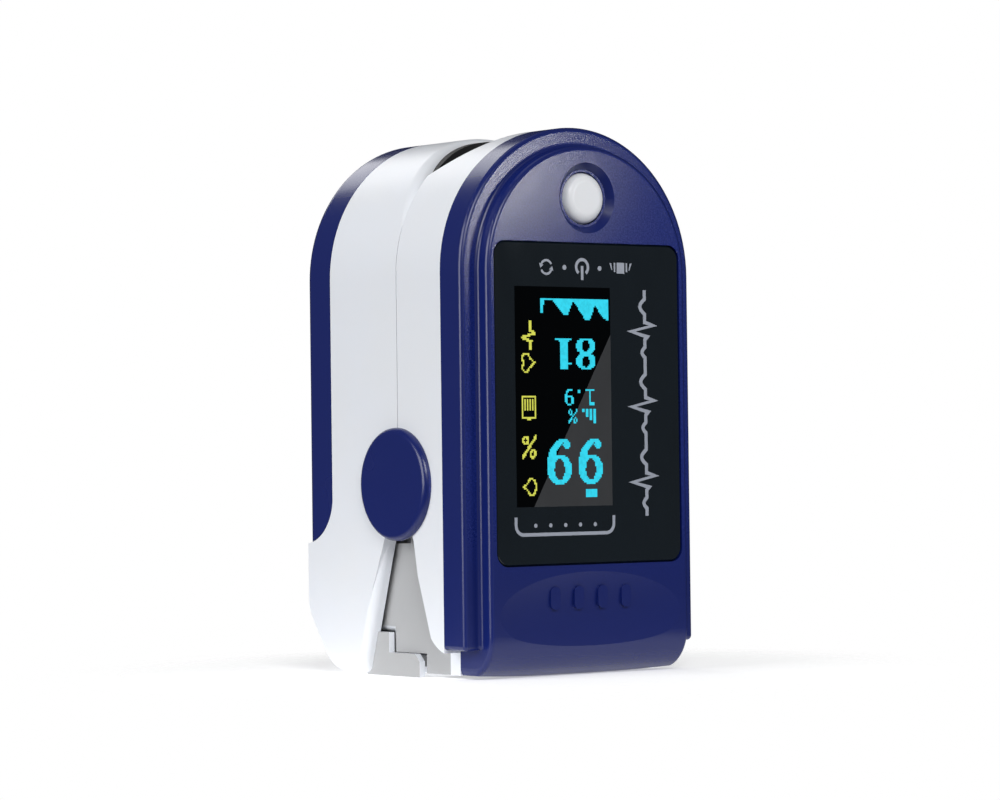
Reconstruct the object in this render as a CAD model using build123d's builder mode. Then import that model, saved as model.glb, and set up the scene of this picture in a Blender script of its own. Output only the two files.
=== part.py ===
from build123d import *
import os

# Fingertip pulse oximeter. It stands on its push end with the finger mouth at the top.
# X is the width, -Y the display side, +Z up. The origin is under the middle of the box.
# Every length is in millimetres.

# ---- driving dimensions ----
HALF_WIDTH = 15.5            # of both housings
HEIGHT = 58.0
DISPLAY_FACE = -15.0         # y of the front plateau
REAR_FACE = 15.0             # y of the battery door
ARC_Z = HEIGHT - HALF_WIDTH  # centre of the half-round top

PLATEAU_HALF = 13.4
RIM_FACE = -13.2             # y of the shoulder around the plateau
COVER_BACK = -9.6            # y where the front cover meets the front housing
RIM_BOTTOM = 3.1
COVER_WALL = 1.4

SEAM = -1.85                 # y of the plane between the two halves
SEAM_GAP = 0.05              # each half stays this far from the seam plane
PIVOT_Y = -1.7
PIVOT_Z = 20.4
PIN_RADIUS = 1.0
RUNNING_FIT = 0.05
CAP_RADIUS = 6.0
CAP_PROUD = 0.8
SHANK_RADIUS = 2.0

WALL = 1.6                   # outer wall of the housings
SKIRT_OUTER = 13.4           # the front half's skirt slides inside the rear half's walls
SKIRT_INNER = 12.3
SLOT_OUTER = HALF_WIDTH - WALL
SLOT_INNER = 11.8
CHAMBER_TOP = 23.0           # hinge chamber under the finger stop
STOP_THICK = 1.6
FLOOR_BACK = -8.2            # y of the front housing's floor, under the hinge

MOUTH_HALF = 11.2            # half width of the finger channel on the seam
FRONT_CHANNEL = -8.0         # deepest y of the channel in each housing
REAR_CHANNEL = 1.7
PAD_HALF = 9.8               # where the pad meets the finger, at the seam
PAD_OUTER = MOUTH_HALF - 0.3
FRONT_PAD = -6.2             # deepest y of each silicone pad
REAR_PAD = 0.3
PAD_BOTTOM = CHAMBER_TOP + STOP_THICK + 0.1
SENSOR_Z = 42.0
SENSOR_HOLE = 2.6

LENS_HALF = 12.5
LENS_BOTTOM = 11.8
LENS_TOP = 45.6
LENS_FACE = -14.95
LENS_BACK = -14.1
POCKET_FLOOR = -14.0
BUTTON_Z = 50.4
BUTTON_RADIUS = 2.7

BOARD_FRONT = -11.4
BOARD_BACK = -10.5
BOARD_HALF = 10.3

CELL_RADIUS = 5.25           # AAA
CELL_LENGTH = 44.5
CELL_X = 5.38
CELL_Y = 7.95
CELL_BOTTOM = 6.3
BAY_HALF = 10.75
BAY_TOP = 51.3
BAY_FLOOR = CELL_BOTTOM - 0.4
WELL_FLOOR = 2.6             # the springs stand in wells under the cells
WELL_RADIUS = 3.4
CHAMBER_FLOOR = 1.3

DOOR_EDGE = 10.3             # y where the door's side band meets the rear housing
DOOR_WALL = 1.4
DOOR_GAP = 0.1
DOOR_LOW_SIDE = 18.5         # z of the door's lower edge on the sides
DOOR_LOW_REAR = 14.0         # and on the rear face
DOOR_TURN = (12.0, 15.3)     # a point on the sweep between the two

FLEX_Z = 11.5                # the flat cable crosses between the halves here
FLEX_HALF = 2.0

SCREW_X = 12.4
SCREW_Z = (30.0, 47.0)
SCREW_RADIUS = 0.8
HEAD_RADIUS = 1.45

os.makedirs("parts", exist_ok=True)


def upright(y):
    """The plane across the object at depth y; it faces the display side."""
    return Plane.XZ.offset(-y)


def across(x):
    """The plane along the object at width x; its own x is Y and its own y is Z."""
    return Plane.YZ.offset(x)


def outline(sketch, half_width, bottom, corner=0.0):
    """Draw the upright outline: straight sides under a half-round top."""
    with Locations((0, bottom)):
        Rectangle(2 * half_width, ARC_Z - bottom, align=(Align.CENTER, Align.MIN))
    with Locations((0, ARC_Z)):
        Circle(half_width)
    if corner:
        fillet(sketch.vertices().group_by(Axis.Y)[0], corner)


def save(part, name):
    """Label a finished piece and write its file."""
    part.part.label = name
    export_step(part.part, f"parts/{name}.step")


# ---- front cover: blue shoulder and plateau around the display ----
FRONT_ROLL = 4.5             # the plateau's lower edge rolls under with this radius
PLATEAU_CORNER = 1.2         # lower corners in front view
PLATEAU_EDGE = 0.5           # round along the plateau's rim
COVE = 0.5
BOTTOM_BOW = 0.5             # the lower edge sags this much at the middle
HOLLOW_BOTTOM = 1.9
BOSS_RADIUS = 1.6
LENS_Z = (LENS_TOP + LENS_BOTTOM) / 2
LENS_HEIGHT = LENS_TOP - LENS_BOTTOM
COLLAR_RADIUS = 3.75
COLLAR_DEPTH = 0.7
DISH_Z = 6.6                 # shallow thumb dish across the plateau's foot
DISH_HALF_WIDTH = 12.2
DISH_HALF_HEIGHT = 4.4
DISH_DEPTH = 0.5
GRIP_BARS = (-4.8, -1.6, 1.6, 4.8)
GRIP_Z = 8.3
GRIP_HEIGHT = 2.4

with BuildPart() as front_cover:
    with BuildSketch(upright(COVER_BACK)) as plateau:
        outline(plateau, PLATEAU_HALF, 0, corner=PLATEAU_CORNER)
    extrude(amount=COVER_BACK - DISPLAY_FACE)
    # the lower edge in side view is one round from the display face to the base
    with BuildSketch(across(-HALF_WIDTH)) as roll:
        with Locations((DISPLAY_FACE, 0)):
            Rectangle(30, HEIGHT, align=(Align.MIN, Align.MIN))
        fillet(roll.vertices().group_by(Axis.Y)[0].sort_by(Axis.X)[0], FRONT_ROLL)
    extrude(amount=2 * HALF_WIDTH, mode=Mode.INTERSECT)
    # seen from the front, the lower edge bows down at the middle
    with BuildSketch(upright(COVER_BACK)):
        with BuildLine():
            ThreePointArc((-PLATEAU_HALF - 1, BOTTOM_BOW), (0, 0), (PLATEAU_HALF + 1, BOTTOM_BOW))
            Polyline(
                (PLATEAU_HALF + 1, BOTTOM_BOW),
                (PLATEAU_HALF + 1, HEIGHT + 1),
                (-PLATEAU_HALF - 1, HEIGHT + 1),
                (-PLATEAU_HALF - 1, BOTTOM_BOW),
            )
        make_face()
    extrude(amount=COVER_BACK - DISPLAY_FACE, mode=Mode.INTERSECT)
    fillet(front_cover.faces().sort_by(Axis.Y)[0].outer_wire().edges(), PLATEAU_EDGE)
    with BuildSketch(upright(COVER_BACK)) as shoulder:
        outline(shoulder, HALF_WIDTH, RIM_BOTTOM, corner=0.5)
    extrude(amount=COVER_BACK - RIM_FACE)
    # cove where the plateau rises from the shoulder
    flat_faces = front_cover.faces().filter_by(Axis.Y)
    rim_face = flat_faces.filter_by_position(Axis.Y, RIM_FACE - 0.01, RIM_FACE + 0.01)[0]
    fillet(rim_face.outer_wire().edges(), COVE)

    # hollow behind the wall
    with BuildSketch(upright(COVER_BACK)) as hollow:
        outline(hollow, PLATEAU_HALF - COVER_WALL, HOLLOW_BOTTOM, corner=1.6)
    extrude(amount=COVER_BACK - RIM_FACE, mode=Mode.SUBTRACT)
    with BuildSketch(upright(COVER_BACK)) as wide_hollow:
        outline(wide_hollow, HALF_WIDTH - COVER_WALL, RIM_BOTTOM + COVER_WALL, corner=1.4)
    extrude(amount=COVER_BACK - RIM_FACE - COVER_WALL, mode=Mode.SUBTRACT)
    # screw bosses
    with BuildSketch(upright(COVER_BACK)):
        with Locations([(side * SCREW_X, z) for side in (-1, 1) for z in SCREW_Z]):
            Circle(BOSS_RADIUS)
    extrude(amount=COVER_BACK - RIM_FACE)
    with BuildSketch(upright(COVER_BACK)):
        with Locations([(side * SCREW_X, z) for side in (-1, 1) for z in SCREW_Z]):
            Circle(SCREW_RADIUS + 0.03)
    extrude(amount=2.5, mode=Mode.SUBTRACT)
    # lens pocket and the window behind it
    with BuildSketch(upright(POCKET_FLOOR)):
        with Locations((0, LENS_Z)):
            RectangleRounded(2 * LENS_HALF + 0.16, LENS_HEIGHT + 0.16, 1.5)
    extrude(amount=2, mode=Mode.SUBTRACT)
    with BuildSketch(upright(RIM_FACE + 0.1)):
        with Locations((0, LENS_Z)):
            RectangleRounded(2 * LENS_HALF - 3.0, LENS_HEIGHT - 3.0, 1.0)
    extrude(amount=2, mode=Mode.SUBTRACT)
    # button collar: a shallow cone down to the bore
    with BuildSketch(upright(DISPLAY_FACE)):
        with Locations((0, BUTTON_Z)):
            Circle(COLLAR_RADIUS)
    extrude(amount=-COLLAR_DEPTH, taper=45, mode=Mode.SUBTRACT)
    with BuildSketch(upright(RIM_FACE + 0.1)):
        with Locations((0, BUTTON_Z)):
            Circle(BUTTON_RADIUS + 0.1)
    extrude(amount=3, mode=Mode.SUBTRACT)
    # thumb dish: the bottom of a long ellipsoid whose axis lies in front of the plateau
    dish_radius = (DISH_HALF_HEIGHT ** 2 + DISH_DEPTH ** 2) / (2 * DISH_DEPTH)
    dish_y = DISPLAY_FACE - (dish_radius - DISH_DEPTH)
    dish_length = DISH_HALF_WIDTH * dish_radius / DISH_HALF_HEIGHT
    with BuildSketch(Plane.XY.offset(DISH_Z)):
        with Locations((0, dish_y)):
            Ellipse(dish_length, dish_radius)
            Rectangle(2 * dish_length, dish_radius, align=(Align.CENTER, Align.MIN), mode=Mode.SUBTRACT)
    revolve(axis=Axis((0, dish_y, DISH_Z), (1, 0, 0)), mode=Mode.SUBTRACT)
    with BuildSketch(upright(DISPLAY_FACE + 0.7)):
        with Locations([(x, GRIP_Z) for x in GRIP_BARS]):
            RectangleRounded(1.3, GRIP_HEIGHT, 0.6)
    extrude(amount=0.6)
save(front_cover, "front_cover")

# ---- lens, gasket, display and board ----
with BuildPart() as display_lens:
    with BuildSketch(upright(LENS_BACK)):
        with Locations((0, LENS_Z)):
            RectangleRounded(2 * LENS_HALF, LENS_HEIGHT, 1.5)
    extrude(amount=LENS_BACK - LENS_FACE)
    chamfer(display_lens.faces().sort_by(Axis.Y)[0].edges(), 0.15)
save(display_lens, "display_lens")

with BuildPart() as lens_gasket:
    with BuildSketch(upright(POCKET_FLOOR)):
        with Locations((0, LENS_Z)):
            RectangleRounded(2 * LENS_HALF - 0.2, LENS_HEIGHT - 0.2, 1.4)
            RectangleRounded(2 * LENS_HALF - 2.8, LENS_HEIGHT - 2.8, 1.0, mode=Mode.SUBTRACT)
    extrude(amount=POCKET_FLOOR - LENS_BACK)
save(lens_gasket, "lens_gasket")

PANEL_X = -1.8
PANEL_Z = 29.25
PANEL_WIDTH = 18.0
PANEL_HEIGHT = 26.7
PANEL_FRONT = -13.1
PANEL_BACK = -11.9
with BuildPart() as oled_panel:
    with BuildSketch(upright(PANEL_BACK)):
        with Locations((PANEL_X, PANEL_Z)):
            Rectangle(PANEL_WIDTH, PANEL_HEIGHT)
    extrude(amount=PANEL_BACK - PANEL_FRONT)
save(oled_panel, "oled_panel")

with BuildPart() as oled_flex:
    with BuildSketch(across(-6)):
        with BuildLine():
            Polyline(
                (PANEL_BACK - 0.5, PANEL_Z - PANEL_HEIGHT / 2),
                (PANEL_BACK - 0.5, PANEL_Z - 15.5),
                (BOARD_FRONT, PANEL_Z - 17.5),
                (BOARD_FRONT, PANEL_Z - 19.0),
                (BOARD_FRONT - 0.15, PANEL_Z - 19.0),
                (BOARD_FRONT - 0.15, PANEL_Z - 17.45),
                (PANEL_BACK - 0.65, PANEL_Z - 15.45),
                (PANEL_BACK - 0.65, PANEL_Z - PANEL_HEIGHT / 2),
                close=True,
            )
        make_face()
    extrude(amount=8)
save(oled_flex, "oled_flex")

with BuildPart() as main_pcb:
    with BuildSketch(upright(BOARD_BACK)) as board:
        outline(board, PLATEAU_HALF - COVER_WALL - 0.3, 8)
        with Locations((0, HEIGHT / 2)):
            Rectangle(2 * BOARD_HALF, HEIGHT, mode=Mode.INTERSECT)
    extrude(amount=BOARD_BACK - BOARD_FRONT)
save(main_pcb, "main_pcb")

CHIPS = (
    # x, z, width, height
    (0, 30, 7.0, 7.0),
    (-6, 20, 3.0, 3.0),
    (6.5, 22, 4.0, 3.0),
    (-6.5, 38, 3.2, 2.5),
    (5, 14, 2.0, 1.2),
    (-2, 14, 2.0, 1.2),
)
CHIP_THICK = 0.8
with BuildPart() as pcb_chips:
    for x, z, width, height in CHIPS:
        with BuildSketch(upright(BOARD_BACK + CHIP_THICK)):
            with Locations((x, z)):
                Rectangle(width, height)
        extrude(amount=CHIP_THICK)
save(pcb_chips, "pcb_chips")

SWITCH_FACE = -12.3
PLUNGER_RADIUS = 1.1
PLUNGER_FRONT = -12.75
with BuildPart() as tact_switch:
    with BuildSketch(upright(BOARD_FRONT)):
        with Locations((0, BUTTON_Z)):
            RectangleRounded(4.5, 4.5, 0.4)
    extrude(amount=BOARD_FRONT - SWITCH_FACE)
    with BuildSketch(upright(SWITCH_FACE + 0.6)):
        with Locations((0, BUTTON_Z)):
            Circle(PLUNGER_RADIUS + 0.1)
    extrude(amount=1, mode=Mode.SUBTRACT)
save(tact_switch, "tact_switch")

with BuildPart() as switch_plunger:
    with BuildSketch(upright(SWITCH_FACE + 0.15)):
        with Locations((0, BUTTON_Z)):
            Circle(PLUNGER_RADIUS)
    extrude(amount=SWITCH_FACE + 0.15 - PLUNGER_FRONT)
save(switch_plunger, "switch_plunger")

BUTTON_BACK = -13.0
BUTTON_LENGTH = 1.95
BUTTON_DOME = 1.0
with BuildPart() as power_button:
    with BuildSketch(upright(BUTTON_BACK)):
        with Locations((0, BUTTON_Z)):
            Circle(BUTTON_RADIUS)
    extrude(amount=BUTTON_LENGTH)
    fillet(power_button.faces().sort_by(Axis.Y)[0].edges(), BUTTON_DOME)
    with BuildSketch(upright(PLUNGER_FRONT)):
        with Locations((0, BUTTON_Z)):
            Circle(BUTTON_RADIUS + 0.6)
    extrude(amount=PLUNGER_FRONT - BUTTON_BACK + 0.1)
save(power_button, "power_button")

# ---- front housing: white shell with the finger channel and the skirt under the hinge ----
WALL_FOOT = 2.8
FOOT_WALL_BACK = -9.0
FOOT_TOP = 3.8
V_TOP = (-4.45, 14.4)        # front edge of the V under the pivot
V_MIDDLE = (-5.1, 10.8)
V_FOOT = (-7.3, 4.3)
V_ROUND = (-8.16, 3.5)
APRON_BACK = -3.7            # the skirt's front part reaches down to the base
APRON_FOOT = 0.4
SKIRT_FOOT = 2.5
SKIRT_BACK = 5.0
SKIRT_NECK = (2.5, 13.0)
SKIRT_ROUND = 0.9
STEP_Y = 2.5                 # the skirt's lower edge steps back here
STEP_Z = 4.65
NOTCH_FRONT = -1.1           # notch in each skirt under the pivot cap
NOTCH_BOTTOM = 14.1
NOTCH_HEIGHT = 0.8
FRONT_EAR = 3.5
with BuildPart() as front_housing:
    with BuildSketch(upright(SEAM - SEAM_GAP)) as block:
        outline(block, HALF_WIDTH, WALL_FOOT)
    extrude(amount=SEAM - SEAM_GAP - COVER_BACK)
    # the side walls leave a V under the pivot
    with BuildSketch(across(-HALF_WIDTH)):
        with BuildLine():
            Polyline(
                (SEAM + 1, PIVOT_Z + 0.2),
                (SEAM - SEAM_GAP, PIVOT_Z + 0.2),
                V_TOP,
                V_MIDDLE,
                V_FOOT,
            )
            ThreePointArc(V_FOOT, V_ROUND, (COVER_BACK, WALL_FOOT - 0.01))
            Polyline((COVER_BACK, WALL_FOOT - 0.01), (SEAM + 1, WALL_FOOT - 0.01), (SEAM + 1, PIVOT_Z + 0.2))
        make_face()
    extrude(amount=2 * HALF_WIDTH, mode=Mode.SUBTRACT)
    # hinge chamber between the skirts, open towards the rear half
    with BuildSketch(across(-SKIRT_INNER)):
        with Locations((FLOOR_BACK, 0)):
            Rectangle(10, CHAMBER_TOP, align=(Align.MIN, Align.MIN))
    extrude(amount=2 * SKIRT_INNER, mode=Mode.SUBTRACT)
    # the floor's foot is thin, so that the rear half's lip can swing up to it
    with BuildSketch(across(-SKIRT_INNER)):
        with Locations((FOOT_WALL_BACK, 0)):
            Rectangle(5, FOOT_TOP, align=(Align.MIN, Align.MIN))
    extrude(amount=2 * SKIRT_INNER, mode=Mode.SUBTRACT)
    with BuildSketch(across(-SKIRT_INNER)):
        with Locations((COVER_BACK, COVER_WALL)):
            Rectangle(FOOT_WALL_BACK - COVER_BACK, FOOT_TOP, align=(Align.MIN, Align.MIN))
    extrude(amount=2 * SKIRT_INNER)
    # skirts: they carry the pivot eyes and slide inside the rear half
    for side in (-1, 1):
        with BuildSketch(across(side * SKIRT_INNER)):
            with BuildLine():
                Polyline(
                    (COVER_BACK, CHAMBER_TOP),
                    (COVER_BACK, APRON_FOOT),
                    (APRON_BACK, APRON_FOOT),
                    (APRON_BACK, SKIRT_FOOT),
                    (STEP_Y, SKIRT_FOOT),
                    (STEP_Y, STEP_Z),
                    (SKIRT_BACK, STEP_Z),
                    SKIRT_NECK,
                    (PIVOT_Y + 2, PIVOT_Z),
                    (SEAM - SEAM_GAP, CHAMBER_TOP),
                    close=True,
                )
            make_face()
            with Locations((PIVOT_Y, PIVOT_Z)):
                Circle(FRONT_EAR)
        extrude(amount=side * (SKIRT_OUTER - SKIRT_INNER))
        # notch under the pivot cap
        with BuildSketch(across(side * SKIRT_INNER)):
            with Locations((NOTCH_FRONT, NOTCH_BOTTOM)):
                Rectangle(5, NOTCH_HEIGHT, align=(Align.MIN, Align.MIN))
        extrude(amount=side * (SKIRT_OUTER - SKIRT_INNER), mode=Mode.SUBTRACT)
    skirt_rims = [
        edge for edge in front_housing.edges()
        if abs(abs(edge.center().X) - SKIRT_OUTER) < 0.01
        and STEP_Y - 0.1 < edge.center().Y < SKIRT_BACK
        and SKIRT_FOOT < edge.center().Z < SKIRT_NECK[1]
        and edge.length > 1.5
    ]
    fillet(skirt_rims, SKIRT_ROUND)
    with BuildSketch(across(-HALF_WIDTH)):
        with Locations((PIVOT_Y, PIVOT_Z)):
            Circle(PIN_RADIUS + RUNNING_FIT)
    extrude(amount=2 * HALF_WIDTH, mode=Mode.SUBTRACT)
    for side in (-1, 1):
        with BuildSketch(across(side * SKIRT_OUTER)):
            with Locations((PIVOT_Y, PIVOT_Z)):
                Circle(SHANK_RADIUS + 0.25)
        extrude(amount=side * 5, mode=Mode.SUBTRACT)
    # finger channel
    with BuildSketch(Plane.XY.offset(CHAMBER_TOP + STOP_THICK)):
        with BuildLine():
            ThreePointArc((-MOUTH_HALF, SEAM), (0, FRONT_CHANNEL), (MOUTH_HALF, SEAM))
            Polyline((MOUTH_HALF, SEAM), (MOUTH_HALF, 0), (-MOUTH_HALF, 0), (-MOUTH_HALF, SEAM))
        make_face()
    extrude(amount=40, mode=Mode.SUBTRACT)
    # cable slot, lamp hole and screw holes
    with BuildSketch(upright(FLOOR_BACK + 0.1)):
        with Locations((0, FLEX_Z)):
            Rectangle(2 * FLEX_HALF + 0.6, 1.0)
    extrude(amount=2, mode=Mode.SUBTRACT)
    with BuildSketch(upright(FRONT_CHANNEL + 1)):
        with Locations((0, SENSOR_Z)):
            Circle(SENSOR_HOLE + 0.1)
    extrude(amount=5, mode=Mode.SUBTRACT)
    with Locations(*[
        Location(Plane(origin=(side * SCREW_X, SEAM - SEAM_GAP, z), z_dir=(0, 1, 0)))
        for side in (-1, 1) for z in SCREW_Z
    ]):
        CounterBoreHole(SCREW_RADIUS + 0.05, HEAD_RADIUS + 0.05, 1.2, depth=8)
save(front_housing, "front_housing")

with BuildPart() as front_screws:
    with BuildSketch(upright(SEAM - SEAM_GAP - 1.2)):
        with Locations([(side * SCREW_X, z) for side in (-1, 1) for z in SCREW_Z]):
            Circle(SCREW_RADIUS)
    extrude(amount=8)
    with BuildSketch(upright(SEAM - 0.4)):
        with Locations([(side * SCREW_X, z) for side in (-1, 1) for z in SCREW_Z]):
            Circle(HEAD_RADIUS)
    extrude(amount=0.85)
save(front_screws, "front_screws")

with BuildPart() as front_finger_pad:
    with BuildSketch(Plane.XY.offset(PAD_BOTTOM)):
        with BuildLine():
            ThreePointArc((-PAD_OUTER, SEAM - 0.1), (0, FRONT_CHANNEL + 0.03), (PAD_OUTER, SEAM - 0.1))
            Line((PAD_OUTER, SEAM - 0.1), (PAD_HALF, SEAM - 0.1))
            ThreePointArc((PAD_HALF, SEAM - 0.1), (0, FRONT_PAD), (-PAD_HALF, SEAM - 0.1))
            Line((-PAD_HALF, SEAM - 0.1), (-PAD_OUTER, SEAM - 0.1))
        make_face()
    extrude(amount=40)
    with BuildSketch(upright(SEAM)) as pad_outline:
        outline(pad_outline, HALF_WIDTH - 1.2, 0)
    extrude(amount=20, mode=Mode.INTERSECT)
    with BuildSketch(upright(SEAM)):
        with Locations((0, SENSOR_Z)):
            Circle(SENSOR_HOLE + 0.1)
    extrude(amount=10, mode=Mode.SUBTRACT)
save(front_finger_pad, "front_finger_pad")

with BuildPart() as led_emitter:
    with BuildSketch(upright(FRONT_PAD - 0.5)):
        with Locations((0, SENSOR_Z)):
            Circle(SENSOR_HOLE)
    extrude(amount=FRONT_PAD - 0.5 + 9.5)
save(led_emitter, "led_emitter")

# ---- rear housing: white shell with the channel, the battery box and the hinge lugs ----
LUG_RADIUS = 2.2
LUG_OUTER = 11.6
LUG_INNER = 10.2
LIP_FRONT = -3.9
LIP_HALF = 12.1
LIP_BOTTOM = 1.0
LIP_TOP = 2.2
SLOT_DEPTH = 16.1            # from 5 mm in front of the seam
LEDGE_INNER = 13.5           # the ledge outside each skirt
LEDGE_OUTER = 14.2
LEDGE_FRONT = -3.5
LEDGE_STEP = 1.95
LEDGE_BACK = 6.0
LEDGE_TOP = 4.6
LEDGE_LOW = 2.45
LEDGE_BEVEL = 0.8            # clears the front housing when the clip opens
LIP_BACK = 3.2
WEDGE = ((1.0, 14.0), (5.35, -0.1))  # front edge of the side walls under the pivot
WEDGE_TURN_Z = 11.6
HEEL_TOE = (10.2, 0)         # the bevelled heel
HEEL_BREAK = (11.2, 1.4)
HEEL_TOP = 6.9
SLOT_TOP = 25.0              # of the slots beside the hinge chamber
EDGE_ROUND = 0.9
MOUTH_ROUND = 1.5
with BuildPart() as rear_housing:
    with BuildSketch(upright(REAR_FACE)) as rear_block:
        outline(rear_block, HALF_WIDTH, 0, corner=2.2)
    extrude(amount=REAR_FACE - SEAM - SEAM_GAP)
    # side profile: V under the pivot, bevelled heel, and the edge that the door meets
    with BuildSketch(across(-HALF_WIDTH)) as side_view:
        with BuildLine():
            Polyline(
                (SEAM, HEIGHT),
                (SEAM, PIVOT_Z + 0.2),
                WEDGE[0],
                (REAR_CHANNEL, WEDGE_TURN_Z),
                (REAR_CHANNEL, 0),
                HEEL_TOE,
                HEEL_BREAK,
                (REAR_FACE, HEEL_TOP),
                (REAR_FACE, DOOR_LOW_REAR),
            )
            ThreePointArc(
                (REAR_FACE, DOOR_LOW_REAR),
                DOOR_TURN,
                (DOOR_EDGE, DOOR_LOW_SIDE),
            )
            Polyline((DOOR_EDGE, DOOR_LOW_SIDE), (DOOR_EDGE, HEIGHT), (SEAM, HEIGHT))
        make_face()
        fillet(side_view.vertices().filter_by_position(Axis.Y, 6.8, 7.0), 4.0)
        fillet(side_view.vertices().filter_by_position(Axis.Y, 1.3, 1.5), 2.0)
        fillet(side_view.vertices().group_by(Axis.Y)[0].sort_by(Axis.X)[0], 1.2)
    extrude(amount=2 * HALF_WIDTH, mode=Mode.INTERSECT)
    # hinge chamber and the side slots for the skirts
    with BuildSketch(across(-SLOT_OUTER)):
        with Locations((SEAM - 5, CHAMBER_FLOOR)):
            Rectangle(REAR_CHANNEL - SEAM + 5, CHAMBER_TOP - CHAMBER_FLOOR, align=(Align.MIN, Align.MIN))
    extrude(amount=2 * SLOT_OUTER, mode=Mode.SUBTRACT)
    for side in (-1, 1):
        with BuildSketch(across(side * SLOT_INNER)):
            with Locations((SEAM - 5, CHAMBER_FLOOR)):
                Rectangle(SLOT_DEPTH, SLOT_TOP - CHAMBER_FLOOR, align=(Align.MIN, Align.MIN))
        extrude(amount=side * (SLOT_OUTER - SLOT_INNER), mode=Mode.SUBTRACT)
    # the side walls lean back further than the box between them
    for side in (-1, 1):
        with BuildSketch(across(side * SLOT_OUTER)):
            with BuildLine():
                Polyline(*WEDGE, (SEAM - 5, WEDGE[1][1]), (SEAM - 5, WEDGE[0][1]), WEDGE[0])
            make_face()
        extrude(amount=side * 5, mode=Mode.SUBTRACT)
    wall_rims = [
        edge for edge in rear_housing.edges()
        if abs(abs(edge.center().X) - HALF_WIDTH) < 0.01
        and WEDGE[0][0] < edge.center().Y < WEDGE[1][0]
        and 1 < edge.center().Z < WEDGE[0][1]
    ]
    fillet(wall_rims, EDGE_ROUND)
    # ledge outside each skirt
    for side in (-1, 1):
        with BuildSketch(across(side * LEDGE_INNER)):
            with BuildLine():
                Polyline(
                    (LEDGE_FRONT, 0),
                    (LEDGE_FRONT, LEDGE_LOW - LEDGE_BEVEL),
                    (LEDGE_FRONT + LEDGE_BEVEL, LEDGE_LOW),
                    (LEDGE_STEP, LEDGE_LOW),
                    (LEDGE_STEP, LEDGE_TOP),
                    (LEDGE_BACK, LEDGE_TOP),
                    (LEDGE_BACK, 0),
                    close=True,
                )
            make_face()
        extrude(amount=side * (LEDGE_OUTER - LEDGE_INNER))
    # battery bay with rounded seats for the two cells
    with BuildSketch(Plane.XY.offset(BAY_FLOOR)):
        with Locations((0, CELL_Y)):
            Rectangle(2 * BAY_HALF, 10, align=(Align.CENTER, Align.MIN))
        with Locations((-CELL_X, CELL_Y), (CELL_X, CELL_Y)):
            Circle(CELL_RADIUS + 0.08)
    extrude(amount=BAY_TOP - BAY_FLOOR, mode=Mode.SUBTRACT)
    with BuildSketch(Plane.XY.offset(WELL_FLOOR)):
        with Locations((-CELL_X, CELL_Y), (CELL_X, CELL_Y)):
            Circle(WELL_RADIUS)
    extrude(amount=BAY_FLOOR - WELL_FLOOR, mode=Mode.SUBTRACT)
    # the heel keeps its rear wall
    with BuildSketch(Plane.XY.offset(BAY_FLOOR)):
        with Locations((0, CELL_Y + CELL_RADIUS + 0.1)):
            Rectangle(2 * BAY_HALF, 1.6, align=(Align.CENTER, Align.MIN))
    extrude(amount=DOOR_LOW_REAR - BAY_FLOOR - 0.3)
    with BuildSketch(across(-HALF_WIDTH)):
        with BuildLine():
            Polyline((16, 0), HEEL_TOE, HEEL_BREAK, (REAR_FACE, HEEL_TOP), (16, HEEL_TOP), close=True)
        make_face()
    extrude(amount=2 * HALF_WIDTH, mode=Mode.SUBTRACT)
    # finger channel
    with BuildSketch(Plane.XY.offset(CHAMBER_TOP + STOP_THICK)):
        with BuildLine():
            ThreePointArc((-MOUTH_HALF, SEAM), (0, REAR_CHANNEL), (MOUTH_HALF, SEAM))
            Polyline((MOUTH_HALF, SEAM), (MOUTH_HALF, SEAM - 3), (-MOUTH_HALF, SEAM - 3), (-MOUTH_HALF, SEAM))
        make_face()
    extrude(amount=40, mode=Mode.SUBTRACT)
    # rounded lip at the mouth
    mouth = [
        edge for edge in rear_housing.edges()
        if abs(edge.center().X) < 0.1 and edge.center().Z > 56 and 0 < edge.center().Y < REAR_CHANNEL + 0.5
    ]
    fillet(mouth, MOUTH_ROUND)
    # hinge lugs on the front wall of the battery box
    for side in (-1, 1):
        with BuildSketch(across(side * LUG_INNER)):
            with Locations((PIVOT_Y, PIVOT_Z)):
                Circle(LUG_RADIUS)
                Rectangle(REAR_CHANNEL - PIVOT_Y + 0.5, 2 * LUG_RADIUS, align=(Align.MIN, Align.CENTER))
        extrude(amount=side * (LUG_OUTER - LUG_INNER))
    # lip that reaches forward under the hinge chamber
    with BuildSketch(across(-LIP_HALF)):
        with Locations((LIP_FRONT, LIP_BOTTOM)):
            Rectangle(LIP_BACK - LIP_FRONT, LIP_TOP - LIP_BOTTOM, align=(Align.MIN, Align.MIN))
    extrude(amount=2 * LIP_HALF)
    with BuildSketch(across(-HALF_WIDTH)):
        with Locations((PIVOT_Y, PIVOT_Z)):
            Circle(PIN_RADIUS + 0.02)
    extrude(amount=2 * HALF_WIDTH, mode=Mode.SUBTRACT)
    for side in (-1, 1):
        with BuildSketch(across(side * SLOT_OUTER)):
            with Locations((PIVOT_Y, PIVOT_Z)):
                Circle(SHANK_RADIUS + 0.02)
        extrude(amount=side * 5, mode=Mode.SUBTRACT)
    # detector hole through the channel floor
    with BuildSketch(upright(REAR_CHANNEL + 1.2)):
        with Locations((0, SENSOR_Z)):
            Circle(SENSOR_HOLE + 0.1)
    extrude(amount=4, mode=Mode.SUBTRACT)
save(rear_housing, "rear_housing")

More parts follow.
